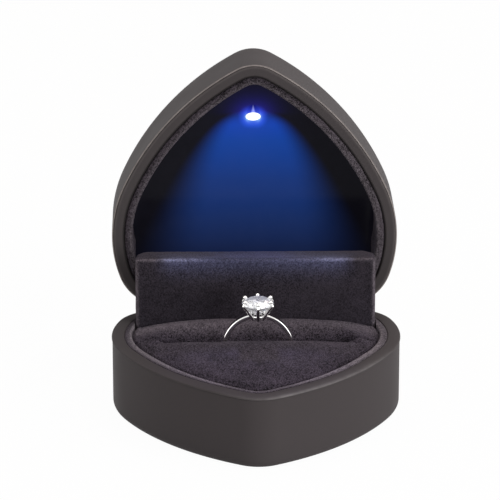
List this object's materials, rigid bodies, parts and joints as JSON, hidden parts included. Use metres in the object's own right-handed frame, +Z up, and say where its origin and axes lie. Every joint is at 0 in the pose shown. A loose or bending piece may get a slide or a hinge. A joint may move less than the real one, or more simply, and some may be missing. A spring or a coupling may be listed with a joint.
{
  "type": "ring display box",
  "caption": "Rounded-tip ring box with a hinged lid, a lit glossy ceiling, a velvet cushion with a ring slot and a solitaire ring.",
  "frame": {"origin": "centre of the flat underside of the base, halfway between the rounded tip and the flat rear", "axes": "+Z up, +X to the right, the rounded tip points to -Y and the hinge is at the rear, so the box is symmetric about X = 0"},
  "size_m": [0.072, 0.0917, 0.0811],
  "materials": {
    "shell": "soft-touch matte",
    "velvet_lip": "velvet pile",
    "velvet_cushion": "velvet pile",
    "velvet_cover": "velvet pile",
    "foam": "open-cell foam",
    "card": "pressed card",
    "plate": "polished black",
    "lamp": "lit",
    "steel": "bright rolled steel",
    "spring_brass": "satin",
    "board": "solder mask",
    "component": "moulded",
    "plunger": "moulded",
    "ring_metal": "polished white gold",
    "stone": "cut and polished"
  },
  "bodies": {
    "base": {"base_shell": "shell", "base_liner": "velvet_lip", "ring_cushion": "velvet_cushion", "cushion_foam": "foam", "pad_board": "card", "pad_spacer": "foam", "hinge_cover": "velvet_cover", "cover_core": "foam", "base_hinge_leaf": "steel", "hinge_pin": "steel", "base_leaf_screws": "steel"},
    "lid": {"lid_shell": "shell", "lid_liner": "velvet_lip", "ceiling_plate": "plate", "lamp": "lamp", "lamp_leads": "steel", "circuit_board": "board", "resistor": "component", "board_screws": "steel", "battery_cell": "steel", "battery_clip": "spring_brass", "battery_contact": "spring_brass", "switch_body": "component", "lid_hinge_leaf": "steel", "lid_leaf_screws": "steel"},
    "plunger": {"switch_plunger": "plunger"},
    "ring": {"ring_band": "ring_metal", "ring_setting": "ring_metal", "ring_stone": "stone"}
  },
  "joints": [
    {"name": "lid_hinge", "type": "hinge", "parent": "base", "child": "lid", "pos_m": [0, 0.0317, 0.0185], "axis": [1, 0, 0], "range_deg": [0, 95]},
    {"name": "plunger_press", "type": "slide", "parent": "lid", "child": "plunger", "axis": [0, 0.9962, -0.0872], "range_m": [0, 0.0008]},
    {"name": "ring_lift", "type": "slide", "parent": "base", "child": "ring", "axis": [0, 0, 1], "range_m": [0, 0.035]}
  ],
  "couplings": [
    {"joint": "plunger_press", "follows": "lid_hinge", "m_per_rad": 0.00048}
  ]
}
